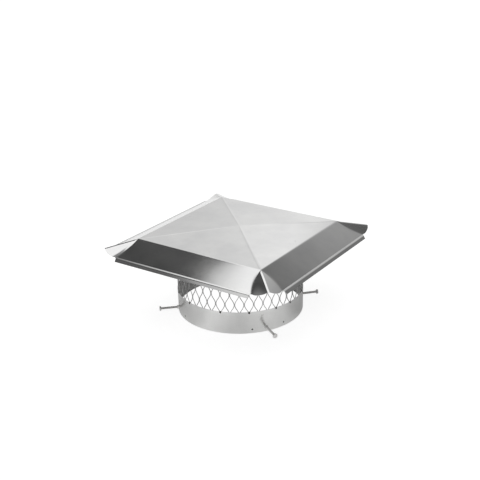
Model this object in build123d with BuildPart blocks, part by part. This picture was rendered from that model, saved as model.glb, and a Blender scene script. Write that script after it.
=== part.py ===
from build123d import *
from math import ceil, cos, pi, radians, sin, tau
import os

# Round bolt-on chimney cap. Z is up, and the origin is the centre of the collar's bottom edge.
# The hood's sides lie along X and Y. Bearings are counted from -Y, positive towards +X.

# Sheet stock
sheet = 0.6
mesh_gauge = 1.2
running_gap = 0.1

# Collar: a rolled band that drops over the flue
collar_bore_radius = 158.75
collar_height = 57.15
seat_height = 11.0
seat_run_in = 2.0
seat_step = 0.6
lap_length = 16.0
lap_bearing = 214.0
screw_hole_diameter = 4.2
screw_hole_height = 10.0
screw_hole_bearings = (-26.0, 44.0, 75.0)

# Clamp bolts: quarter-inch hex bolts in drawn, tapped holes
bolt_bearings = {"front": 57.0, "right": 137.5, "back": 232.0, "left": -46.0}
bolt_backed_off = {"front": 2.5, "right": 0.0, "back": 1.0, "left": 1.5}
bolt_height = 10.0
bolt_diameter = 6.35
bolt_length = 44.45
head_across_flats = 11.1
head_thickness = 4.1
boss_length = 4.6
boss_wall = 1.2
boss_flare = 1.6

# Mesh: expanded metal with the long way of its diamonds upright
diamonds_around = 43
diamond_long_way = 50.8
strand_width = 1.7
first_knuckle_drop = 6.55
first_knuckle_bearing = 41.5

# Hood: one folded sheet, with its top cross-broken to a low pyramid
top_side = 355.6
top_corner_height = 206.5
top_rise = 11.0
skirt_angle = 24.0
skirt_width = 71.5
lip_angle = 36.0
lip_width = 12.7
lip_overhang = 12.0
notch_overhang = 13.0
notch_depth = 5.0

# Pinched corners of the hood: how far the ridge and the valleys run beyond the top's corner
ridge_overhang = 58.0
ridge_drop = 16.4
valley_flare = 24.0
valley_bow = 1.9
valley_round = 4.0
valley_share = 0.4
corner_bulge_share = 0.06
valley_strips = 4
fin_strips = 3
fold_station_shares = (0.15, 0.4, 0.7, 1.0)

os.makedirs("parts", exist_ok=True)

top_half = top_side / 2
collar_radius = collar_bore_radius + sheet
seat_radius = collar_bore_radius + seat_step
seat_bottom = collar_height - seat_height
plain_height = seat_bottom - seat_run_in


def radial_plane(bearing, radius, height):
    """Plane that faces out from the axis at a bearing, with its x direction level."""
    angle = radians(bearing - 90)
    outward = Vector(cos(angle), sin(angle), 0)
    level = Vector(-sin(angle), cos(angle), 0)
    return Plane(origin=outward * radius + Vector(0, 0, height), x_dir=level, z_dir=outward)


# Collar: its top is swaged out by half the mesh's thickness, as a seat that the mesh stands in
with BuildPart() as collar:
    with BuildSketch(Plane.XZ):
        with BuildLine():
            Polyline(
                (collar_bore_radius, 0),
                (collar_bore_radius, plain_height),
                (seat_radius, seat_bottom),
                (seat_radius, collar_height),
                (seat_radius + sheet, collar_height),
                (seat_radius + sheet, seat_bottom),
                (collar_radius, plain_height),
                (collar_radius, 0),
                close=True,
            )
        make_face()
    revolve(axis=Axis.Z)
    # The band's outer end laps over its start on the side away from the front bolt
    lap_angle = 360 * lap_length / (tau * collar_radius)
    with BuildSketch(Plane.XZ.rotated((0, 0, lap_bearing - 90 - lap_angle / 2))):
        with Locations((collar_radius + sheet / 2, collar_height / 2)):
            Rectangle(sheet, collar_height)
    revolve(axis=Axis.Z, revolution_arc=lap_angle)
    # Drawn bosses carry the bolts outside the bore
    hole_radius = bolt_diameter / 2 + running_gap
    for bearing in bolt_bearings.values():
        with BuildSketch(radial_plane(bearing, collar_bore_radius + sheet / 2, bolt_height)):
            Circle(hole_radius + boss_flare)
        with BuildSketch(radial_plane(bearing, collar_radius + boss_length, bolt_height)):
            Circle(hole_radius + boss_wall)
        loft()
    for bearing in bolt_bearings.values():
        with BuildSketch(radial_plane(bearing, collar_bore_radius / 2, bolt_height)):
            Circle(hole_radius)
        extrude(amount=collar_bore_radius, mode=Mode.SUBTRACT)
    for bearing in screw_hole_bearings:
        with BuildSketch(radial_plane(bearing, collar_bore_radius / 2, screw_hole_height)):
            Circle(screw_hole_diameter / 2)
        extrude(amount=collar_bore_radius, mode=Mode.SUBTRACT)
collar.part.label = "collar"
export_step(collar.part, "parts/collar.step")


# One clamp bolt, standing on its tip
with BuildPart() as bolt:
    with BuildSketch():
        Circle(bolt_diameter / 2)
    extrude(amount=bolt_length)
    with BuildSketch(Plane.XY.offset(bolt_length)):
        RegularPolygon(head_across_flats / 2, side_count=6, major_radius=False)
    extrude(amount=head_thickness)

# Each tip is flush with the bore or backed off into its boss
for name, bearing in bolt_bearings.items():
    tip_radius = collar_bore_radius + bolt_backed_off[name]
    with BuildPart() as clamp_bolt:
        with Locations(radial_plane(bearing, tip_radius, bolt_height).location):
            add(bolt.part)
    clamp_bolt.part.label = f"clamp_bolt_{name}"
    export_step(clamp_bolt.part, f"parts/clamp_bolt_{name}.step")


# Mesh: two strands meet at each knuckle. A sector is the flat strip between two columns of
# knuckles, and holds one strand that zigzags from the collar to the hood.
mesh_radius = seat_radius - running_gap
strand_radius = mesh_radius - mesh_gauge / 2
first_knuckle_height = collar_height - first_knuckle_drop
mesh_top = top_corner_height + top_rise * (1 - mesh_radius / top_half) - sheet - running_gap
sectors = 2 * diamonds_around
sector_angle = 360 / sectors
sector_half_width = strand_radius * sin(pi / sectors)
row_rise = diamond_long_way / 2
level_half_strand = strand_width / 2 * Vector(2 * sector_half_width, row_rise).length / row_rise
strand_steepness = row_rise / (2 * sector_half_width)
mesh_rows = ceil((mesh_top - first_knuckle_height) / row_rise)


def zigzag(first_side):
    """Outline of one sector's strand, from a first knuckle on the right (1) or on the left (-1)."""
    border = sector_half_width + mesh_gauge / 2
    half_knuckle = (level_half_strand - (border - sector_half_width)) * strand_steepness
    right, left = [], []
    for row in range(mesh_rows + 1):
        side = first_side * (-1) ** row
        height = first_knuckle_height + row * row_rise
        knuckle = [(side * border, height - half_knuckle), (side * border, height + half_knuckle)]
        bend = [(side * (sector_half_width - level_half_strand), height)]
        right += knuckle if side == 1 else bend
        left += bend if side == 1 else knuckle
    return right + left[::-1]


def sector_strand(first_side):
    """One sector's strand, cut off on the planes that it shares with its neighbours."""
    with BuildPart() as strand:
        with BuildSketch(Plane.XZ.offset(mesh_radius * cos(pi / sectors))):
            with BuildLine():
                Polyline(*zigzag(first_side), close=True)
            make_face()
        extrude(amount=-mesh_gauge)
        split(bisect_by=Plane.XY.offset(mesh_top), keep=Keep.BOTTOM)
        for turn in (-sector_angle / 2, sector_angle / 2):
            keep = Keep.TOP if turn < 0 else Keep.BOTTOM
            split(bisect_by=Plane.YZ.rotated((0, 0, turn)), keep=keep)
    return strand.part


first_sector = first_knuckle_bearing - sector_angle / 2
with BuildPart() as mesh:
    with PolarLocations(0, diamonds_around, start_angle=first_sector):
        add(sector_strand(1))
    with PolarLocations(0, diamonds_around, start_angle=first_sector + sector_angle):
        add(sector_strand(-1))
mesh.part.label = "mesh"
export_step(mesh.part, "parts/mesh.step")


# Hood. The side that faces +X is laid out in flat facets and in ruled strips, each the upper
# face of the sheet, and its corner folds end on the diagonals.
corner = Vector(top_half, -top_half, top_corner_height)
apex = Vector(0, 0, top_corner_height + top_rise)
ridge = Vector(ridge_overhang, -ridge_overhang, -ridge_drop)


def slope_point(start, beyond, width, slope):
    """Point that lies beyond the start along the side and down a slope from it."""
    return start + Vector(width * cos(radians(slope)), -beyond, -width * sin(radians(slope)))


def across_side(point):
    """The same place at the other end of the side."""
    return Vector(point.X, -point.Y, point.Z)


def fold_point(across, along):
    """Point of a corner fold, across from the skirt (0) to the ridge (1), along to its cut edge (1)."""
    bow = valley_flare * along**valley_bow
    start = slope_point(corner, bow - valley_round * along, skirt_width * along, skirt_angle)
    valley = slope_point(corner, bow, skirt_width * along, skirt_angle)
    crest = corner + ridge * along
    end = valley + (crest - valley) * valley_share
    if across < valley_share:
        bend = across / valley_share
        point = start * (1 - bend) ** 2 + valley * 2 * bend * (1 - bend) + end * bend**2
    else:
        point = end + (crest - end) * (across - valley_share) / (1 - valley_share)
    return corner + (point - corner) * (1 + corner_bulge_share * along * sin(pi * across))


steps_across = [valley_share * step / valley_strips for step in range(valley_strips)]
steps_across += [
    valley_share + (1 - valley_share) * step / fin_strips for step in range(fin_strips + 1)
]
fold_points = [[fold_point(across, along) for along in fold_station_shares] for across in steps_across]
fold_lines = [Edge.make_spline(points) for points in fold_points]
fold = []
for step in range(len(fold_lines) - 1):
    fold.append(Face(Wire.make_polygon([corner, fold_points[step][0], fold_points[step + 1][0]])))
    fold.append(Face.make_surface_from_curves(fold_lines[step], fold_lines[step + 1]))

skirt_end = fold_points[0][-1]
fold_start = fold_points[0][0]
skirt = Face(
    Wire(
        [
            Edge.make_line(across_side(corner), corner),
            Edge.make_line(corner, fold_start),
            fold_lines[0],
            Edge.make_line(skirt_end, across_side(skirt_end)),
            fold_lines[0].mirror(Plane.XZ),
            Edge.make_line(across_side(fold_start), across_side(corner)),
        ]
    )
)
top = Face(Wire.make_polygon([corner, across_side(corner), apex]))
crease_end = slope_point(corner, 0, skirt_width, skirt_angle)
lip_end = [
    skirt_end,
    slope_point(crease_end, notch_overhang, notch_depth, lip_angle),
    slope_point(crease_end, lip_overhang, lip_width, lip_angle),
]
lip = Face(Wire.make_polygon(lip_end + [across_side(point) for point in reversed(lip_end)]))
side_faces = [top, skirt, lip] + fold + [face.mirror(Plane.XZ) for face in fold]

# The cut edge runs from one diagonal to the next
rim_half = [points[-1] for points in reversed(fold_points)] + lip_end[1:]
rim_points = rim_half + [across_side(point) for point in reversed(rim_half)]
rim_edges = [Edge.make_line(start, end) for start, end in zip(rim_points, rim_points[1:])]

# The sheet is the skin, the same skin one thickness lower, and the cut edge between them
under_side = Vector(0, 0, -sheet)
side_skin = side_faces + [face.moved(Location(under_side)) for face in side_faces]
side_skin += [Face.extrude(edge, under_side) for edge in rim_edges]
hood_skin = [face.rotate(Axis.Z, 90 * turn) for turn in range(4) for face in side_skin]
with BuildPart() as hood:
    add(Solid(Shell(hood_skin)))
hood.part.label = "hood"
export_step(hood.part, "parts/hood.step")
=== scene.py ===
import math

import bmesh
import bpy
from mathutils import Matrix, Vector, noise


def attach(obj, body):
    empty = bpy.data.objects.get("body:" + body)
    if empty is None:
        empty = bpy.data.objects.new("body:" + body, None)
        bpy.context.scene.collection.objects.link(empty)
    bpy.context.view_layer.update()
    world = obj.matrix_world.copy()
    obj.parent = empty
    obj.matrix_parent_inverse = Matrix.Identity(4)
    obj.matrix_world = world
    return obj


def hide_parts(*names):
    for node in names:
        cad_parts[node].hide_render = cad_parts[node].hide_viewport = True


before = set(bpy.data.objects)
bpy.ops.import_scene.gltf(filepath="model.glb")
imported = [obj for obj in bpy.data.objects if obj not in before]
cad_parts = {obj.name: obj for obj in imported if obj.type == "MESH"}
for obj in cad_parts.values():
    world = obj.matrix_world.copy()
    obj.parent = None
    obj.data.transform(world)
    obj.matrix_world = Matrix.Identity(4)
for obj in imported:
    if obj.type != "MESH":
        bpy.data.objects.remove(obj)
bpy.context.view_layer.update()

MM = 0.001

# Sheet hood, in millimetres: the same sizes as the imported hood
HALF_TOP = 177.8
EAVE_HEIGHT = 206.5
TOP_RISE = 11.0
SHEET = 0.6
SKIRT_SLOPE = math.radians(24.0)
SKIRT_WIDTH = 71.5
LIP_SLOPE = math.radians(36.0)
LIP_WIDTH = 12.7
LIP_OVERHANG = 12.0
NOTCH_OVERHANG = 13.0
NOTCH_DEPTH = 5.0
RIDGE = Vector((58.0, -58.0, -16.4))
VALLEY_FLARE = 24.0
VALLEY_BOW = 1.9
VALLEY_ROUND = 4.0
VALLEY_SHARE = 0.4
FIN_BULGE = 0.06

# How the sheet turns: the eave's bend, half the width of the pressed ridge and its rounded edge,
# the height and reach of the cross-break's own ridge, and the skirt's lift where it runs into the
# valley
BEND_REACH = 2.0
RIDGE_REACH = 3.1
RIDGE_CORNER = 0.6
CROSS_BREAK_RIDGE = 0.32
CROSS_BREAK_REACH = 3.4
VALLEY_LIFT = 0.3
VALLEY_LIFT_REACH = 7.0

# Clamp bolts: bearing from -Y towards +X, and how far the tip is backed off from the bore
BOLTS = {"front": (57.0, 2.5), "right": (137.5, 0.0), "back": (232.0, 1.0), "left": (-46.0, 1.5)}
BORE_RADIUS = 158.75
BOLT_HEIGHT = 10.0
BOLT_LENGTH = 44.45
THREAD_RADIUS = 3.175
THREAD_PITCH = 1.27
THREAD_DEPTH = 0.6134 * THREAD_PITCH
TIP_RADIUS = 2.1
HEAD_FLATS = 11.1
HEAD_THICKNESS = 4.1
HEX_START = 0.3
CROWN_CHAMFER = 0.35
CROWN_SLOPE = math.radians(28)
WASHER_FACE_RADIUS = 5.2
WASHER_FACE_THICKNESS = 0.5

# Collar and mesh. A bond is where two strands meet, and its half is half its height.
COLLAR_HEIGHT = 57.15
RUNNING_GAP = 0.1
DIAMONDS_AROUND = 43
KNUCKLE_BEARING = 41.5
KNUCKLE_STEP = math.tau / DIAMONDS_AROUND
FIRST_KNUCKLE = 50.6
STRAND_FOOT = 2.2
ROW_RISE = 25.4
STRAND_WIDTH = 1.7
STRAND_SWAY = 0.5
STRAND_LEAN = 0.25
MESH_GAUGE = 1.2
MESH_RADIUS = 158.35
MESH_OUTSIDE = BORE_RADIUS + 0.5
MESH_TOP = EAVE_HEIGHT + TOP_RISE * (1 - MESH_OUTSIDE / HALF_TOP) - SHEET - RUNNING_GAP
BOND_HALF = 1.6


def deselect():
    if bpy.context.object and bpy.context.object.mode != "OBJECT":
        bpy.ops.object.mode_set(mode="OBJECT")
    bpy.ops.object.select_all(action="DESELECT")


def pick(*objects):
    deselect()
    for item in objects:
        item.select_set(True)
    bpy.context.view_layer.objects.active = objects[0]


def apply_modifier(item, kind, **settings):
    pick(item)
    modifier = item.modifiers.new(kind.lower(), kind)
    for key, value in settings.items():
        setattr(modifier, key, value)
    bpy.ops.object.modifier_apply(modifier=modifier.name)


def bake_place(item):
    """The object's place goes into its mesh, and the object back to the origin."""
    item.data.transform(item.matrix_world)
    item.matrix_world = Matrix.Identity(4)


def edit_all(item, operator, **settings):
    """Runs one edit-mode operator on the whole of a mesh."""
    pick(item)
    bpy.ops.object.mode_set(mode="EDIT")
    bpy.ops.mesh.select_all(action="SELECT")
    operator(**settings)
    bpy.ops.object.mode_set(mode="OBJECT")


def merge_close(item, distance):
    edit_all(item, bpy.ops.mesh.remove_doubles, threshold=distance)


def face_outwards(item):
    edit_all(item, bpy.ops.mesh.normals_make_consistent, inside=False)


def step_at(steps, coordinate):
    """The entry of a list that a grid's vertex stands for, from its coordinate of -1 to 1."""
    return steps[round((coordinate + 1) / 2 * (len(steps) - 1))]


def copy_piece(item, name, matrix):
    """A copy with a mesh of its own, moved in its mesh."""
    twin = item.copy()
    twin.data = item.data.copy()
    twin.name = name
    twin.data.name = name
    bpy.context.scene.collection.objects.link(twin)
    twin.data.transform(matrix)
    return twin


def join(pieces, name):
    pick(*pieces)
    if len(pieces) > 1:
        bpy.ops.object.join()
    whole = bpy.context.object
    whole.name = name
    whole.data.name = name
    return whole


def smooth_finish(item, angle):
    """Smooth shading that leaves flat faces flat and keeps edges above the angle sharp."""
    pick(item)
    bpy.ops.object.shade_smooth_by_angle(angle=math.radians(angle))
    apply_modifier(item, "WEIGHTED_NORMAL", mode="FACE_AREA", keep_sharp=True, weight=60)


def srgb(code):
    """A hex colour as linear light."""
    values = [int(code[i:i + 2], 16) / 255 for i in (1, 3, 5)]
    linear = [v / 12.92 if v <= 0.04045 else ((v + 0.055) / 1.055) ** 2.4 for v in values]
    return (*linear, 1.0)


def grey(value):
    return (value, value, value, 1.0)


def add_node(tree, kind, links=None, **settings):
    """One node with its settings, and links from {its socket: (other node, that node's socket)}."""
    node = tree.nodes.new(kind)
    for key, value in settings.items():
        if key.startswith("in_"):
            socket = key[3:]
            socket = int(socket) if socket.isdigit() else socket.replace("_", " ")
            node.inputs[socket].default_value = value
        else:
            setattr(node, key, value)
    for socket, (source, out) in (links or {}).items():
        tree.links.new(source.outputs[out], node.inputs[socket])
    return node


def new_material(name):
    material = bpy.data.materials.new(name)
    material.use_nodes = True
    material.node_tree.nodes.clear()
    return material, material.node_tree


def ramp_stops(node, stops):
    ramp = node.color_ramp
    while len(ramp.elements) > 1:
        ramp.elements.remove(ramp.elements[-1])
    ramp.elements[0].position, ramp.elements[0].color = stops[0]
    for position, color in stops[1:]:
        ramp.elements.new(position).color = color


def all_round(levels):
    """Ramp stops for levels that are given by direction, from -180 to 180 degrees."""
    return [((degrees + 180) / 360, grey(level)) for degrees, level in levels]


def give(item, material):
    item.data.materials.clear()
    item.data.materials.append(material)


def mill_finish_stainless_sheet():
    """Cold-rolled stainless with its mill finish: bright and grey, with a soft, slightly hazy
    reflection, faint rolling lines along the coil and a little handling haze."""
    material, tree = new_material("mill_finish_stainless_sheet")
    place = add_node(tree, "ShaderNodeTexCoord")
    # Rolling lines: 1.7 mm wide at the most, and a hand long
    along_coil = add_node(tree, "ShaderNodeMapping", {"Vector": (place, "Object")},
                          in_Scale=(6.0, 600.0, 600.0))
    lines = add_node(tree, "ShaderNodeTexNoise", {"Vector": (along_coil, "Vector")},
                     in_Scale=1.0, in_Detail=4.0, in_Roughness=0.6)
    # Handling haze: patches about 60 mm wide
    haze = add_node(tree, "ShaderNodeTexNoise", {"Vector": (place, "Object")},
                    in_Scale=16.0, in_Detail=3.0, in_Roughness=0.55)
    tone = add_node(tree, "ShaderNodeValToRGB", {"Fac": (haze, "Fac")})
    ramp_stops(tone, [(0.3, srgb("#D8D8D8")), (0.7, srgb("#E2E2E1"))])
    haze_roughness = add_node(tree, "ShaderNodeMapRange", {"Value": (haze, "Fac")},
                              in_From_Min=0.3, in_From_Max=0.7, in_To_Min=0.055, in_To_Max=0.08)
    line_roughness = add_node(tree, "ShaderNodeMath",
                              {0: (lines, "Fac"), 2: (haze_roughness, "Result")},
                              operation="MULTIPLY_ADD", in_1=0.02)
    bump = add_node(tree, "ShaderNodeBump", {"Height": (lines, "Fac")},
                    in_Strength=0.02, in_Distance=0.0002)
    steel = add_node(tree, "ShaderNodeBsdfPrincipled",
                     {"Base Color": (tone, "Color"), "Roughness": (line_roughness, "Value"),
                      "Normal": (bump, "Normal")},
                     in_Metallic=1.0)
    add_node(tree, "ShaderNodeOutputMaterial", {"Surface": (steel, "BSDF")})
    return material


def satin_stainless_band():
    """Stainless strip rolled to a ring: satin, with fine lines round the band and a softer
    reflection than the hood's sheet."""
    material, tree = new_material("satin_stainless_band")
    place = add_node(tree, "ShaderNodeTexCoord")
    # Level lines round the band, up to 1.25 mm wide and a hand long
    level = add_node(tree, "ShaderNodeMapping", {"Vector": (place, "Object")},
                     in_Scale=(9.0, 9.0, 800.0))
    lines = add_node(tree, "ShaderNodeTexNoise", {"Vector": (level, "Vector")},
                     in_Scale=1.0, in_Detail=3.0, in_Roughness=0.6)
    # Smudges about 35 mm wide
    smudges = add_node(tree, "ShaderNodeTexNoise", {"Vector": (place, "Object")},
                       in_Scale=28.0, in_Detail=4.0, in_Roughness=0.6)
    tone = add_node(tree, "ShaderNodeValToRGB", {"Fac": (smudges, "Fac")})
    ramp_stops(tone, [(0.3, srgb("#D8D8D7")), (0.7, srgb("#E0E0DF"))])
    smudge_roughness = add_node(tree, "ShaderNodeMapRange", {"Value": (smudges, "Fac")},
                                in_From_Min=0.3, in_From_Max=0.7, in_To_Min=0.19, in_To_Max=0.24)
    bump = add_node(tree, "ShaderNodeBump", {"Height": (lines, "Fac")},
                    in_Strength=0.03, in_Distance=0.0002)
    steel = add_node(tree, "ShaderNodeBsdfPrincipled",
                     {"Base Color": (tone, "Color"), "Roughness": (smudge_roughness, "Result"),
                      "Normal": (bump, "Normal")},
                     in_Metallic=1.0)
    add_node(tree, "ShaderNodeOutputMaterial", {"Surface": (steel, "BSDF")})
    return material


def sheared_stainless_strand():
    """Expanded stainless: rolled faces and sheared, slightly torn edges, duller than the sheet."""
    material, tree = new_material("sheared_stainless_strand")
    place = add_node(tree, "ShaderNodeTexCoord")
    # The sheared edge's grain, about 1 mm, and patches about 25 mm wide
    grain = add_node(tree, "ShaderNodeTexNoise", {"Vector": (place, "Object")},
                     in_Scale=900.0, in_Detail=3.0, in_Roughness=0.6)
    patches = add_node(tree, "ShaderNodeTexNoise", {"Vector": (place, "Object")},
                       in_Scale=40.0, in_Detail=2.0, in_Roughness=0.5)
    tone = add_node(tree, "ShaderNodeValToRGB", {"Fac": (patches, "Fac")})
    ramp_stops(tone, [(0.3, srgb("#989898")), (0.7, srgb("#B0B0AF"))])
    bump = add_node(tree, "ShaderNodeBump", {"Height": (grain, "Fac")},
                    in_Strength=0.25, in_Distance=0.0001)
    steel = add_node(tree, "ShaderNodeBsdfPrincipled",
                     {"Base Color": (tone, "Color"), "Normal": (bump, "Normal")},
                     in_Metallic=1.0, in_Roughness=0.3)
    add_node(tree, "ShaderNodeOutputMaterial", {"Surface": (steel, "BSDF")})
    return material


def plain_stainless_bolt():
    """Cold-headed stainless bolt with a rolled thread: smooth and bright, with faint marks from
    the header and the wrench."""
    material, tree = new_material("plain_stainless_bolt")
    place = add_node(tree, "ShaderNodeTexCoord")
    # Marks about 3 mm wide
    marks = add_node(tree, "ShaderNodeTexNoise", {"Vector": (place, "Object")},
                     in_Scale=350.0, in_Detail=3.0, in_Roughness=0.6)
    tone = add_node(tree, "ShaderNodeValToRGB", {"Fac": (marks, "Fac")})
    ramp_stops(tone, [(0.3, srgb("#CCCBCA")), (0.7, srgb("#DCDBDA"))])
    bump = add_node(tree, "ShaderNodeBump", {"Height": (marks, "Fac")},
                    in_Strength=0.15, in_Distance=0.0001)
    steel = add_node(tree, "ShaderNodeBsdfPrincipled",
                     {"Base Color": (tone, "Color"), "Normal": (bump, "Normal")},
                     in_Metallic=1.0, in_Roughness=0.17)
    add_node(tree, "ShaderNodeOutputMaterial", {"Surface": (steel, "BSDF")})
    return material


def heat_tinted_weld():
    """Tack welds left as they were made: dark straw to blue-black heat tint, rough with scale."""
    material, tree = new_material("heat_tinted_weld")
    place = add_node(tree, "ShaderNodeTexCoord")
    # Scale about 1.5 mm across
    scale = add_node(tree, "ShaderNodeTexNoise", {"Vector": (place, "Object")},
                     in_Scale=700.0, in_Detail=4.0, in_Roughness=0.6)
    tone = add_node(tree, "ShaderNodeValToRGB", {"Fac": (scale, "Fac")})
    ramp_stops(tone, [(0.35, srgb("#2B2A2C")), (0.55, srgb("#3D3936")), (0.7, srgb("#5E564C"))])
    bump = add_node(tree, "ShaderNodeBump", {"Height": (scale, "Fac")},
                    in_Strength=0.3, in_Distance=0.0002)
    steel = add_node(tree, "ShaderNodeBsdfPrincipled",
                     {"Base Color": (tone, "Color"), "Normal": (bump, "Normal")},
                     in_Metallic=1.0, in_Roughness=0.5)
    add_node(tree, "ShaderNodeOutputMaterial", {"Surface": (steel, "BSDF")})
    return material


TOP_CORNER = Vector((HALF_TOP, -HALF_TOP, EAVE_HEIGHT))


def slope_point(start, beyond, width, slope):
    """A point beyond the start along the side and down a slope from it."""
    return start + Vector((width * math.cos(slope), -beyond, -width * math.sin(slope)))


def bend_through(start, corner, end, share):
    """A point of the round bend from a start to an end that a corner draws out."""
    return start * (1 - share) ** 2 + corner * 2 * share * (1 - share) + end * share ** 2


def fold_point(across, along):
    """A point of a pinched corner, across from the skirt (0) to the ridge (1), and along from the
    top's corner (0) to the cut edge (1)."""
    bow = VALLEY_FLARE * along ** VALLEY_BOW
    start = slope_point(TOP_CORNER, bow - VALLEY_ROUND * along, SKIRT_WIDTH * along, SKIRT_SLOPE)
    valley = slope_point(TOP_CORNER, bow, SKIRT_WIDTH * along, SKIRT_SLOPE)
    crest = TOP_CORNER + RIDGE * along
    end = valley + (crest - valley) * VALLEY_SHARE
    if across < VALLEY_SHARE:
        point = bend_through(start, valley, end, across / VALLEY_SHARE)
    else:
        point = end + (crest - end) * (across - VALLEY_SHARE) / (1 - VALLEY_SHARE)
    return TOP_CORNER + (point - TOP_CORNER) * (1 + FIN_BULGE * along * math.sin(math.pi * across))


def across_diagonal(point):
    """The same place on the neighbouring side, seen across the corner's diagonal."""
    return Vector((-point.y, -point.x, point.z))


# Places across half a side: shares of the straight part, then of the pinched corner. The fine
# steps lie beside the cross-break and the ridge, where the sheet turns.
STRAIGHT = [step / 20 for step in range(19)] + [0.92, 0.94, 0.955, 0.967, 0.978, 0.988, 0.995, 1.0]
PINCH = [0.04, 0.09, 0.14, 0.19, 0.24, 0.29, 0.34, 0.40, 0.48, 0.56, 0.64, 0.72, 0.80, 0.86, 0.90,
         0.925, 0.95, 0.975, 1.0]
FINE_START, FINE_LENGTH = 0.9, 18.0
RIDGE_START, RIDGE_FLAT = 0.90, 0.95
# Places from the top's middle out to the cut edge
TOP_ROWS = [0.0, 0.02, 0.08] + [0.16 + 0.105 * step for step in range(8)] + [1 - 6 / HALF_TOP]
EAVE_ROWS = [0.0, 0.25, 0.5, 0.75, 1.0]
SKIRT_ROWS = [0.08, 0.14, 0.21, 0.28, 0.36, 0.44, 0.52, 0.60, 0.68, 0.76, 0.84, 0.91, 0.96, 1.0]
# The bead along the skirt's lower crease: how far out and how far down from the crease
LIP_PROFILE = [(0.4, 0.13), (1.0, 0.24), (2.2, 0.43), (3.6, 0.66), (5.0, 0.90), (5.6, 1.18),
               (6.0, 1.62), (6.4, 2.14), (7.3, 3.38), (8.6, 5.17),
               (LIP_WIDTH * math.cos(LIP_SLOPE), LIP_WIDTH * math.sin(LIP_SLOPE))]


def from_end(column, half):
    """How far a place on the straight part lies from its end. The fine steps share the last 18 mm,
    or less near the top's middle, where the straight part is under 60 mm long."""
    fine = FINE_LENGTH * min(half / 60.0, 1.0)
    if column < FINE_START:
        return fine + (half - fine) * (1 - column / FINE_START)
    return fine * ((1 - column) / (1 - FINE_START)) ** 1.3


def top_point(share, column):
    """A point of the cross-broken top, from its middle (0) to the eave (1)."""
    reach = HALF_TOP * share
    gap = from_end(column, reach)
    # The brake's blade leaves a slight ridge along the cross-break, which fades over 15 mm at the
    # top's middle and over 8 mm at its corner
    fade = min(reach / 15.0, (HALF_TOP - reach) / 8.0, 1.0)
    ridge = CROSS_BREAK_RIDGE * math.exp(-(gap / CROSS_BREAK_REACH) ** 2) * fade
    return Vector((reach, gap - reach, EAVE_HEIGHT + TOP_RISE * (1 - share) + ridge))


def skirt_point(column, along):
    """A point of the skirt or of the pinched corner beyond it (columns above 1)."""
    if column <= 1:
        end = fold_point(0, along)
        gap = from_end(column, -end.y)
        # The skirt lifts a little where it runs into the valley
        lift = VALLEY_LIFT * along * max(0.0, 1 - gap / VALLEY_LIFT_REACH) ** 2
        return Vector((end.x, end.y + gap, end.z + lift))
    across = column - 1
    # The ridge is pressed flat: a narrow band of the same width all along, with rounded edges. It
    # takes at most 0.8 of the fin, which narrows to nothing at the top's corner.
    crest = fold_point(1, along)
    fin = (crest - fold_point(VALLEY_SHARE, along)).length
    ridge_share = (1 - VALLEY_SHARE) * min((RIDGE_REACH + RIDGE_CORNER) / fin, 0.8)
    if across <= RIDGE_START:
        if across > VALLEY_SHARE:
            squeeze = (1 - ridge_share - VALLEY_SHARE) / (RIDGE_START - VALLEY_SHARE)
            across = VALLEY_SHARE + (across - VALLEY_SHARE) * squeeze
        point = fold_point(across, along)
    else:
        near = fold_point(1 - ridge_share, along)
        edge = near + (crest - near) * RIDGE_CORNER / (RIDGE_REACH + RIDGE_CORNER)
        middle = (edge + across_diagonal(edge)) / 2
        inner = edge + (middle - edge) * 0.4
        rounding = min((across - RIDGE_START) / (RIDGE_FLAT - RIDGE_START), 1.0)
        flat = max(across - RIDGE_FLAT, 0.0) / (1 - RIDGE_FLAT)
        point = bend_through(near, edge, inner, rounding) + (middle - inner) * flat
    # The lift carries on round the valley and dies out before the fin
    fade = min(across / VALLEY_SHARE, 1.0)
    point.z += VALLEY_LIFT * along * (1 + 3.5 * fade) * (1 - fade) ** 2
    return point


def lip_point(column, out, down):
    """A point of the bead and lip, whose end runs in over the notch and then to the cut edge."""
    crease = skirt_point(1, 1)
    width = math.hypot(out, down)
    skirt_end = VALLEY_FLARE - VALLEY_ROUND
    beyond = skirt_end + (NOTCH_OVERHANG - skirt_end) * min(width / NOTCH_DEPTH, 1.0)
    past_notch = max(width - NOTCH_DEPTH, 0.0) / (LIP_WIDTH - NOTCH_DEPTH)
    reach = HALF_TOP + beyond - (NOTCH_OVERHANG - LIP_OVERHANG) * past_notch
    return Vector((crease.x + out, from_end(column, reach) - reach, crease.z - down))


def hood_point(row, column):
    """A point of the sheet's upper face, or None where the sheet is cut away."""
    part, place = row
    if part == "skirt":
        return skirt_point(column, place)
    if part == "eave":
        inner = top_point(1 - BEND_REACH / HALF_TOP, min(column, 1))
        edge = TOP_CORNER.copy()
        if column < 1:
            edge.y = from_end(column, HALF_TOP) - HALF_TOP
        outer = skirt_point(column, BEND_REACH / SKIRT_WIDTH)
        return bend_through(inner, edge, outer, place)
    if column > 1:
        return None
    return top_point(place, column) if part == "top" else lip_point(column, *place)


def hand_formed(point):
    """The slight waviness of thin sheet that was folded by hand, in millimetres up or down: broad
    waves 120 mm long, and much smaller ones 55 mm long."""
    broad = noise.noise(point / 120.0) * 0.16
    small = noise.noise(point / 55.0 + Vector((7, 3, 1))) * 0.02
    return Vector((0, 0, broad + small))


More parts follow.
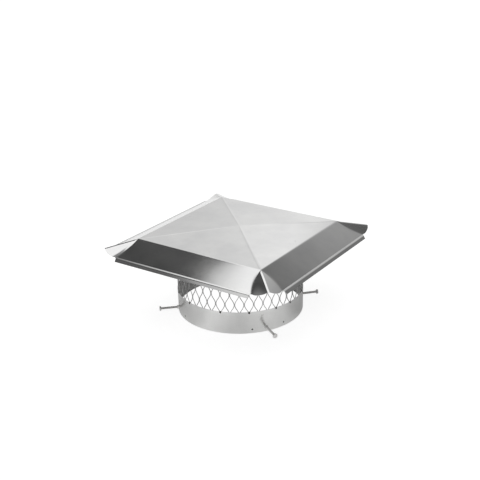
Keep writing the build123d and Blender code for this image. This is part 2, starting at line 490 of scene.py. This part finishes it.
def build_hood():
    """Half of one side is laid out on a grid, mirrored, and turned to make the four sides."""
    rows = [("top", share) for share in TOP_ROWS] + [("eave", place) for place in EAVE_ROWS]
    rows += [("skirt", along) for along in SKIRT_ROWS] + [("lip", place) for place in LIP_PROFILE]
    columns = STRAIGHT + [1 + across for across in PINCH]
    deselect()
    bpy.ops.mesh.primitive_grid_add(x_subdivisions=len(columns) - 1,
                                    y_subdivisions=len(rows) - 1, size=2)
    half_side = bpy.context.object
    sheet = bmesh.new()
    sheet.from_mesh(half_side.data)
    cut_away = []
    for vertex in sheet.verts:
        point = hood_point(step_at(rows, vertex.co.y), step_at(columns, vertex.co.x))
        if point is None:
            cut_away.append(vertex)
        else:
            vertex.co = point * MM
    bmesh.ops.delete(sheet, geom=cut_away, context="VERTS")
    sheet.to_mesh(half_side.data)
    sheet.free()
    apply_modifier(half_side, "MIRROR", use_axis=(False, True, False), merge_threshold=0.00002)
    sides = [half_side]
    for turn in (1, 2, 3):
        quarter = Matrix.Rotation(math.radians(90 * turn), 4, "Z")
        sides.append(copy_piece(half_side, f"side_{turn}", quarter))
    hood = join(sides, "hood_sheet_metal")
    merge_close(hood, 0.00003)
    face_outwards(hood)
    for vertex in hood.data.vertices:
        vertex.co += hand_formed(vertex.co / MM) * MM
    # An open sheet has no outside, so the side that faces up on the whole is made the outer one
    if sum(face.normal.z * face.area for face in hood.data.polygons) < 0:
        hood.data.flip_normals()
    apply_modifier(hood, "SOLIDIFY", thickness=SHEET * MM, offset=-1.0, use_even_offset=True)
    smooth_finish(hood, 38)
    return hood


def cut_thread():
    """The bolt's shank, with one tooth's outline screwed up its length and cut off square."""
    pitch, crest, root = THREAD_PITCH, THREAD_RADIUS, THREAD_RADIUS - THREAD_DEPTH
    tooth = [(root, 0.0), (root, 0.125 * pitch), (crest, 0.5 * pitch), (crest, 0.625 * pitch),
             (root, pitch)]
    outline = bpy.data.meshes.new("thread")
    outline.from_pydata([(r * MM, 0, (z - 2 * pitch) * MM) for r, z in tooth],
                        [(i, i + 1) for i in range(len(tooth) - 1)], [])
    thread = bpy.data.objects.new("thread", outline)
    bpy.context.scene.collection.objects.link(thread)
    turns = math.ceil(BOLT_LENGTH / pitch) + 3
    apply_modifier(thread, "SCREW", axis="Z", angle=math.tau, screw_offset=pitch * MM,
                   iterations=turns, steps=20, render_steps=20, use_merge_vertices=True,
                   merge_threshold=0.00001)
    merge_close(thread, 0.00001)
    for height, keep_above in ((0.0, True), (BOLT_LENGTH, False)):
        edit_all(thread, bpy.ops.mesh.bisect, plane_co=(0, 0, height * MM), plane_no=(0, 0, 1),
                 use_fill=True, clear_inner=keep_above, clear_outer=not keep_above)
    # The tip's chamfer runs out the first thread
    for vertex in thread.data.vertices:
        radius = math.hypot(vertex.co.x, vertex.co.y)
        limit = TIP_RADIUS * MM + vertex.co.z
        if radius > limit:
            vertex.co.x *= limit / radius
            vertex.co.y *= limit / radius
    face_outwards(thread)
    return thread


def forge_head():
    """The hex head, with its corners taken off round the crown by a turned cone."""
    deselect()
    corner, hex_depth = HEAD_FLATS / 2 / math.cos(math.pi / 6), HEAD_THICKNESS - HEX_START
    bpy.ops.mesh.primitive_cylinder_add(
        vertices=6, radius=corner * MM, depth=hex_depth * MM,
        location=(0, 0, (BOLT_LENGTH + HEX_START + hex_depth / 2) * MM))
    head = bpy.context.object
    bake_place(head)
    deselect()
    crown_radius, crown_depth = HEAD_FLATS / 2 - CROWN_CHAMFER, HEAD_THICKNESS + 0.2
    foot_radius = crown_radius + crown_depth / math.tan(CROWN_SLOPE)
    bpy.ops.mesh.primitive_cone_add(
        vertices=96, radius1=foot_radius * MM, radius2=crown_radius * MM, depth=crown_depth * MM,
        location=(0, 0, (BOLT_LENGTH + HEAD_THICKNESS - crown_depth / 2) * MM))
    crown = bpy.context.object
    bake_place(crown)
    apply_modifier(head, "BOOLEAN", operation="INTERSECT", object=crown, solver="EXACT")
    bpy.data.objects.remove(crown)
    apply_modifier(head, "BEVEL", width=0.12 * MM, segments=2, limit_method="ANGLE",
                   angle_limit=math.radians(40))
    return head


def build_bolt():
    """One bolt standing on its tip at the origin, with a rolled thread, a washer face under its
    head, and a hex head."""
    thread = cut_thread()
    head = forge_head()
    deselect()
    bpy.ops.mesh.primitive_cylinder_add(
        vertices=64, radius=WASHER_FACE_RADIUS * MM, depth=WASHER_FACE_THICKNESS * MM,
        location=(0, 0, (BOLT_LENGTH + WASHER_FACE_THICKNESS / 2) * MM))
    washer_face = bpy.context.object
    bake_place(washer_face)
    bolt = join([thread, head, washer_face], "clamp_bolt_pattern")
    smooth_finish(bolt, 28)
    return bolt


def radial_matrix(bearing, radius, height):
    """Stands a piece modelled along +Z so that it points out from the axis at a bearing."""
    angle = math.radians(bearing - 90)
    outward = Vector((math.cos(angle), math.sin(angle), 0))
    level = Vector((-math.sin(angle), math.cos(angle), 0))
    turn = Matrix((level, outward.cross(level), outward)).transposed().to_4x4()
    return Matrix.Translation(outward * radius * MM + Vector((0, 0, height * MM))) @ turn


# Where a strand's run between two bonds has its steps
RUN_STEPS = (0.06, 0.14, 0.26, 0.42, 0.58, 0.74, 0.86, 0.94)


def build_mesh():
    """Expanded metal: two strands meet side by side at each bond. A sector between two columns of
    bonds holds one strand, which sways from side to side on its way up."""
    sector = KNUCKLE_STEP / 2
    border = sector / 2 * MESH_RADIUS
    swing = border - STRAND_WIDTH / 2
    run = ROW_RISE - 2 * BOND_HALF
    bay = [0.0, BOND_HALF] + [BOND_HALF + run * share for share in RUN_STEPS]
    bay.append(ROW_RISE - BOND_HALF)
    heights = [FIRST_KNUCKLE - STRAND_FOOT]
    for row in range(math.ceil((MESH_TOP - FIRST_KNUCKLE) / ROW_RISE)):
        heights += [FIRST_KNUCKLE + row * ROW_RISE + step for step in bay]
    heights = [height for height in heights if height < MESH_TOP] + [MESH_TOP]

    def edge_point(height, right_side, first_side):
        """A point on the right or left edge of the strand whose first bond is on first_side."""
        climb = (height - FIRST_KNUCKLE) / ROW_RISE
        below = max(math.floor(climb), 0)
        side = first_side * (-1) ** below
        rise = (climb - below) * ROW_RISE
        share = min(max((rise - BOND_HALF) / run, 0.0), 1.0)
        sway = STRAND_SWAY * math.sin(math.tau * share) / math.tau
        centre = side * swing * (1 - 2 * (share - sway))
        slant = 2 * swing / run * (1 - STRAND_SWAY * math.cos(math.tau * share))
        half = STRAND_WIDTH / 2 * math.hypot(1, slant if 0 < share < 1 else 0.0)
        across = centre + (half if right_side else -half)
        # Edges that all but reach the sector's border meet the neighbouring strand there
        if border - abs(across) < 0.12:
            across = math.copysign(border, across)
        # The strand's face leans a little, about its own middle or about the middle of the bond.
        # There is no lean in the collar's seat, and it grows over the 10 mm above that.
        near_bond = 1 - min(share, 1 - share, 0.2) / 0.2
        pivot = centre + (math.copysign(border, centre) - centre) * near_bond
        lean = STRAND_LEAN * min(max((height - COLLAR_HEIGHT - 2) / 10, 0.0), 1.0)
        radius = MESH_RADIUS + lean * (across - pivot)
        turn = across / MESH_RADIUS
        return Vector((radius * math.sin(turn), -radius * math.cos(turn), height))

    strands = []
    for first_side in (1, -1):
        deselect()
        bpy.ops.mesh.primitive_grid_add(x_subdivisions=1, y_subdivisions=len(heights) - 1, size=2)
        strand = bpy.context.object
        for vertex in strand.data.vertices:
            height = step_at(heights, vertex.co.y)
            vertex.co = edge_point(height, vertex.co.x > 0, first_side) * MM
        start = math.radians(KNUCKLE_BEARING) - first_side * sector / 2
        for turn in range(DIAMONDS_AROUND):
            matrix = Matrix.Rotation(start + turn * 2 * sector, 4, "Z")
            strands.append(copy_piece(strand, f"strand_{len(strands)}", matrix))
        bpy.data.objects.remove(strand)
    mesh = join(strands, "expanded_metal_ring")
    merge_close(mesh, 0.00002)
    face_outwards(mesh)
    apply_modifier(mesh, "SOLIDIFY", thickness=MESH_GAUGE * MM, offset=0.0)
    apply_modifier(mesh, "BEVEL", width=0.22 * MM, segments=2, limit_method="ANGLE",
                   angle_limit=math.radians(50))
    smooth_finish(mesh, 50)
    return mesh


# Columns of bonds that are tacked to the collar's rim, counted round from the first one, and the
# columns that are tacked under the hood
RIM_TACKS = (0, 3, 5, 8, 11, 14, 17, 20, 23, 26, 29, 33, 36, 40)
HOOD_TACKS = range(0, DIAMONDS_AROUND, 3)


def build_tack(name, across, radial, tall):
    """A blob of weld, with its own size in millimetres round the ring, out from it and upright."""
    deselect()
    bpy.ops.mesh.primitive_ico_sphere_add(subdivisions=4, radius=1.0)
    tack = bpy.context.object
    tack.name = name
    for vertex in tack.data.vertices:
        swell = 1 + 0.12 * noise.noise(vertex.co * 1.7) + 0.03 * noise.noise(vertex.co * 6.0)
        blob = Vector((vertex.co.x * across, vertex.co.y * radial, vertex.co.z * tall))
        vertex.co = blob * swell * MM
    smooth_finish(tack, 60)
    return tack


def tack_round(pattern, knuckles, radius, height):
    """Copies of one tack at the given columns of bonds. The pattern itself goes."""
    placed = []
    for knuckle in knuckles:
        bearing = math.radians(KNUCKLE_BEARING) + knuckle * KNUCKLE_STEP
        stand = Matrix.Translation(Vector((0, -radius, height)) * MM)
        matrix = Matrix.Rotation(bearing, 4, "Z") @ stand
        placed.append(copy_piece(pattern, f"{pattern.name}_{knuckle}", matrix))
    bpy.data.objects.remove(pattern)
    return placed


hood_steel = mill_finish_stainless_sheet()
band_steel = satin_stainless_band()
strand_steel = sheared_stainless_strand()
bolt_steel = plain_stainless_bolt()

hood = build_hood()
give(hood, hood_steel)
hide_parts("hood")
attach(hood, "cap")

pattern = build_bolt()
give(pattern, bolt_steel)
for name, (bearing, backed_off) in BOLTS.items():
    in_its_hole = radial_matrix(bearing, BORE_RADIUS + backed_off, BOLT_HEIGHT)
    bolt = copy_piece(pattern, f"hex_bolt_{name}", in_its_hole)
    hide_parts(f"clamp_bolt_{name}")
    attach(bolt, f"{name}_bolt")
bpy.data.objects.remove(pattern)

mesh = build_mesh()
give(mesh, strand_steel)
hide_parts("mesh")
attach(mesh, "cap")

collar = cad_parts["collar"]
if not collar.material_slots:
    collar.data.materials.append(band_steel)
for holder in collar.material_slots:
    holder.material = band_steel

rim_tack = build_tack("rim_tack", across=2.9, radial=1.2, tall=3.4)
rim_tacks = tack_round(rim_tack, RIM_TACKS, BORE_RADIUS + 0.45, COLLAR_HEIGHT - 2.2)
hood_tack = build_tack("hood_tack", across=2.2, radial=1.6, tall=1.5)
hood_tacks = tack_round(hood_tack, HOOD_TACKS, MESH_RADIUS, MESH_TOP - 0.6)
tacks = join(rim_tacks + hood_tacks, "tack_welds")
give(tacks, heat_tinted_weld())
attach(tacks, "cap")

# The camera's direction, from a fit of the hood's corners and the collar's ellipses in the
# photograph
AZIMUTH, ELEVATION, ROLL = math.radians(34.400), math.radians(22.195), math.radians(-1.154)

# The room's light by direction, in degrees from +Y towards -X: the walls, then the ceiling
WALL_LIGHT = [(-180, 0.75), (-100, 0.5), (-45, 0.2), (-25, 0.24), (-5, 0.35), (0, 0.37), (5, 0.5),
              (12, 0.63), (21, 0.55), (28, 1.03), (39, 0.80), (46, 0.76), (49.5, 0.12), (51, 0.09),
              (56, 0.09), (61, 0.2), (72, 0.2), (100, 0.8), (118, 0.9), (126, 0.1), (136, 0.12),
              (137.3, 0.2), (138.5, 0.42), (140, 0.8), (146, 0.95), (180, 0.75)]
CEILING_LIGHT = [(-180, 0.3), (-60, 0.14), (-20, 0.13), (0, 0.17), (12, 0.25), (18, 0.4),
                 (25, 1.2), (43, 1.2), (50, 0.9), (54, 0.06), (70, 0.09), (73, 0.09), (75, 0.055),
                 (77.5, 0.13), (80, 0.26), (84, 0.26), (100, 0.05), (125, 0.08), (136, 0.11),
                 (137.3, 0.2), (138.5, 0.42), (140, 0.8), (146, 1.1), (180, 0.3)]
LAMP_LIGHT = 1.22
# The sine of the height at which the ceiling gives way to the lamp, by the same directions
LAMP_EDGE = [(-180, 0.827), (40, 0.827), (46, 0.766), (61, 0.766), (67, 0.827), (78, 0.827),
             (84, 0.91), (112, 0.91), (120, 0.84), (180, 0.827)]
# The painted reflection that the collar mirrors of the paper, a grey glow by bearing from -Y
# towards +X
PAINTED_PAPER_REFLECTION = [(-180, 0.38), (-115, 0.38), (-90, 0.15), (-60, 0.18), (-41, 0.27), (-16, 0.36),
               (-1, 0.55), (12, 0.46), (24, 0.37), (35, 0.35), (46, 0.43), (58, 0.49), (71, 0.46),
               (87, 0.37), (106, 0.17), (135, 0.15), (180, 0.38)]


def white_studio_floor():
    """Matt white paper. The camera sees it white, less the soft shadow round the collar and a
    painted deep shadow, a near-black foot, inside the collar's near wall. Metal mirrors it with a
    painted reflection, a grey glow that changes by bearing round the collar, added to the paper,
    and painted darker still inside the collar."""
    material, tree = new_material("white_studio_floor")
    rays = add_node(tree, "ShaderNodeLightPath")
    place = add_node(tree, "ShaderNodeTexCoord")
    # Inside is 1 within the collar's wall and 0 outside it
    reach = add_node(tree, "ShaderNodeVectorMath", {0: (place, "Object")}, operation="LENGTH")
    inside = add_node(tree, "ShaderNodeMapRange", {"Value": (reach, "Value")},
                      in_From_Min=(BORE_RADIUS - 0.05) * MM, in_From_Max=(BORE_RADIUS + 0.75) * MM,
                      in_To_Min=1.0, in_To_Max=0.0)
    # The paper is painted in deep shadow up to 32 mm from the near wall, which shows through the
    # holes
    nearness = add_node(tree, "ShaderNodeVectorMath", {0: (place, "Object")},
                        operation="DOT_PRODUCT", in_1=(math.sin(AZIMUTH), -math.cos(AZIMUTH), 0.0))
    sideways = add_node(tree, "ShaderNodeVectorMath", {0: (place, "Object")},
                        operation="DOT_PRODUCT", in_1=(math.cos(AZIMUTH), math.sin(AZIMUTH), 0.0))
    sideways_squared = add_node(tree, "ShaderNodeMath",
                                {0: (sideways, "Value"), 1: (sideways, "Value")},
                                operation="MULTIPLY")
    half_chord_squared = add_node(tree, "ShaderNodeMath", {1: (sideways_squared, "Value")},
                                  operation="SUBTRACT", in_0=(BORE_RADIUS * MM) ** 2)
    half_chord = add_node(tree, "ShaderNodeMath", {0: (half_chord_squared, "Value")},
                          operation="SQRT")
    to_wall = add_node(tree, "ShaderNodeMath", {0: (half_chord, "Value"), 1: (nearness, "Value")},
                       operation="SUBTRACT")
    near_wall = add_node(tree, "ShaderNodeMapRange", {"Value": (to_wall, "Value")},
                         in_From_Min=0.032, in_From_Max=0.042, in_To_Min=1.0, in_To_Max=0.0)
    shade = add_node(tree, "ShaderNodeMath", {0: (inside, "Result"), 1: (near_wall, "Result")},
                     operation="MULTIPLY")
    # The paper inside the ring is lifted, because the hood's shadow would turn it grey
    lift = add_node(tree, "ShaderNodeMapRange", {"Value": (inside, "Result")},
                    in_To_Min=0.85, in_To_Max=0.95)
    paper = add_node(tree, "ShaderNodeBsdfDiffuse", in_Color=srgb("#E6E6E6"))
    faint = add_node(tree, "ShaderNodeBsdfDiffuse", in_Color=srgb("#A0A0A0"))
    glow = add_node(tree, "ShaderNodeEmission", {"Strength": (lift, "Result")}, in_Color=grey(1.0))
    open_paper = add_node(tree, "ShaderNodeAddShader", {0: (faint, "BSDF"), 1: (glow, "Emission")})
    # Painted shadow: a near-black matt foot stands for the deep shade just inside the near wall
    painted_shadow_foot = add_node(tree, "ShaderNodeBsdfDiffuse", in_Color=srgb("#101010"))
    seen = add_node(tree, "ShaderNodeMixShader",
                    {0: (shade, "Value"), 1: (open_paper, "Shader"), 2: (painted_shadow_foot, "BSDF")})
    # Painted reflection: for glossy rays the paper glows grey by bearing, darkest to the left and
    # right, and the collar's wall mirrors it
    across = add_node(tree, "ShaderNodeSeparateXYZ", {"Vector": (place, "Object")})
    forward = add_node(tree, "ShaderNodeMath", {0: (across, "Y")}, operation="MULTIPLY", in_1=-1.0)
    turn = add_node(tree, "ShaderNodeMath", {0: (across, "X"), 1: (forward, "Value")},
                    operation="ARCTAN2")
    round_collar = add_node(tree, "ShaderNodeMapRange", {"Value": (turn, "Value")},
                            in_From_Min=-math.pi, in_From_Max=math.pi)
    painted_reflection_ramp = add_node(tree, "ShaderNodeValToRGB", {"Fac": (round_collar, "Result")})
    ramp_stops(painted_reflection_ramp, all_round(PAINTED_PAPER_REFLECTION))
    # The painted reflection is dimmed inside the collar, where metal sees little light from the
    # paper
    indoors = add_node(tree, "ShaderNodeMapRange", {"Value": (inside, "Result")},
                       in_To_Min=1.0, in_To_Max=0.15)
    metal_glow = add_node(tree, "ShaderNodeEmission",
                          {"Color": (painted_reflection_ramp, "Color"), "Strength": (indoors, "Result")})
    mirrored = add_node(tree, "ShaderNodeAddShader",
                        {0: (paper, "BSDF"), 1: (metal_glow, "Emission")})
    for_metal = add_node(tree, "ShaderNodeMixShader",
                         {0: (rays, "Is Glossy Ray"), 1: (paper, "BSDF"), 2: (mirrored, "Shader")})
    to_eye = add_node(tree, "ShaderNodeMath",
                      {0: (rays, "Is Camera Ray"), 1: (rays, "Is Transmission Ray")},
                      operation="MAXIMUM")
    for_eye = add_node(tree, "ShaderNodeMixShader",
                       {0: (to_eye, "Value"), 1: (for_metal, "Shader"), 2: (seen, "Shader")})
    add_node(tree, "ShaderNodeOutputMaterial", {"Surface": (for_eye, "Shader")})
    return material


def light_room():
    """The studio by direction, as the sheet mirrors it: walls with pale and dark stretches, which
    give way between 34 and 41 degrees up to a ceiling with its own, and one wide soft lamp
    overhead whose edge isn't level. The camera sees plain white."""
    world = bpy.data.worlds.new("studio_room")
    bpy.context.scene.world = world
    world.use_nodes = True
    tree = world.node_tree
    tree.nodes.clear()
    place = add_node(tree, "ShaderNodeTexCoord")
    axes = add_node(tree, "ShaderNodeSeparateXYZ", {"Vector": (place, "Generated")})
    # Direction round the room: 0.5 is +Y, and higher values turn towards -X
    away_x = add_node(tree, "ShaderNodeMath", {0: (axes, "X")}, operation="MULTIPLY", in_1=-1.0)
    turn = add_node(tree, "ShaderNodeMath", {0: (away_x, "Value"), 1: (axes, "Y")},
                    operation="ARCTAN2")
    round_room = add_node(tree, "ShaderNodeMapRange", {"Value": (turn, "Value")},
                          in_From_Min=-math.pi, in_From_Max=math.pi)
    walls = add_node(tree, "ShaderNodeValToRGB", {"Fac": (round_room, "Result")})
    ramp_stops(walls, all_round(WALL_LIGHT))
    # The walls are a little darker low down
    dusk = add_node(tree, "ShaderNodeMapRange", {"Value": (axes, "Z")},
                    in_From_Min=0.2, in_From_Max=0.45, in_To_Min=0.9, in_To_Max=1.0)
    wall_light = add_node(tree, "ShaderNodeVectorMath", {0: (walls, "Color"), 3: (dusk, "Result")},
                          operation="SCALE")
    ceiling = add_node(tree, "ShaderNodeValToRGB", {"Fac": (round_room, "Result")})
    ramp_stops(ceiling, all_round(CEILING_LIGHT))
    up_to_ceiling = add_node(tree, "ShaderNodeMapRange", {"Value": (axes, "Z")},
                             interpolation_type="SMOOTHSTEP",
                             in_From_Min=math.sin(math.radians(34)),
                             in_From_Max=math.sin(math.radians(41)))
    lamp_edge = add_node(tree, "ShaderNodeValToRGB", {"Fac": (round_room, "Result")})
    ramp_stops(lamp_edge, all_round(LAMP_EDGE))
    above_edge = add_node(tree, "ShaderNodeMath", {0: (axes, "Z"), 1: (lamp_edge, "Color")},
                          operation="SUBTRACT")
    up_to_lamp = add_node(tree, "ShaderNodeMapRange", {"Value": (above_edge, "Value")},
                          interpolation_type="SMOOTHSTEP", in_From_Min=-0.014, in_From_Max=0.011)
    # In a colour mix, sockets 6 and 7 are the two colours, and 2 is the result
    below_lamp = add_node(tree, "ShaderNodeMix",
                          {0: (up_to_ceiling, "Result"), 6: (wall_light, "Vector"),
                           7: (ceiling, "Color")},
                          data_type="RGBA")
    room = add_node(tree, "ShaderNodeMix", {0: (up_to_lamp, "Result"), 6: (below_lamp, 2)},
                    data_type="RGBA", in_7=grey(LAMP_LIGHT))
    rays = add_node(tree, "ShaderNodeLightPath")
    seen = add_node(tree, "ShaderNodeMix", {0: (rays, "Is Camera Ray"), 6: (room, 2)},
                    data_type="RGBA", in_7=grey(1.0))
    background = add_node(tree, "ShaderNodeBackground", {"Color": (seen, 2)}, in_Strength=1.0)
    add_node(tree, "ShaderNodeOutputWorld", {"Surface": (background, "Background")})


deselect()
bpy.ops.mesh.primitive_plane_add(size=60, location=(0, 0, -0.0002))
floor = bpy.context.object
floor.name = "studio_floor"
floor.data.materials.append(white_studio_floor())
light_room()

# Camera: at the photograph's place, from the same fit, in metres
DISTANCE, ASIDE, RAISED = 2.3005, -0.0020, 0.1655
PICTURE, FOCAL_PIXELS = 480, 894.2
level_back = Vector((math.sin(AZIMUTH), -math.cos(AZIMUTH), 0))
back = level_back * math.cos(ELEVATION) + Vector((0, 0, math.sin(ELEVATION)))
level_right = Vector((math.cos(AZIMUTH), math.sin(AZIMUTH), 0))
level_up = back.cross(level_right)
right = level_right * math.cos(ROLL) + level_up * math.sin(ROLL)
up = level_up * math.cos(ROLL) - level_right * math.sin(ROLL)
eye = back * DISTANCE + right * ASIDE + up * RAISED
camera_data = bpy.data.cameras.new("photo_camera")
camera_data.sensor_width = 36.0
camera_data.lens = FOCAL_PIXELS / PICTURE * camera_data.sensor_width
camera = bpy.data.objects.new("photo_camera", camera_data)
bpy.context.scene.collection.objects.link(camera)
camera.matrix_world = Matrix.Translation(eye) @ Matrix((right, up, back)).transposed().to_4x4()
bpy.context.scene.camera = camera

bpy.context.scene.view_settings.view_transform = "Standard"

deselect()
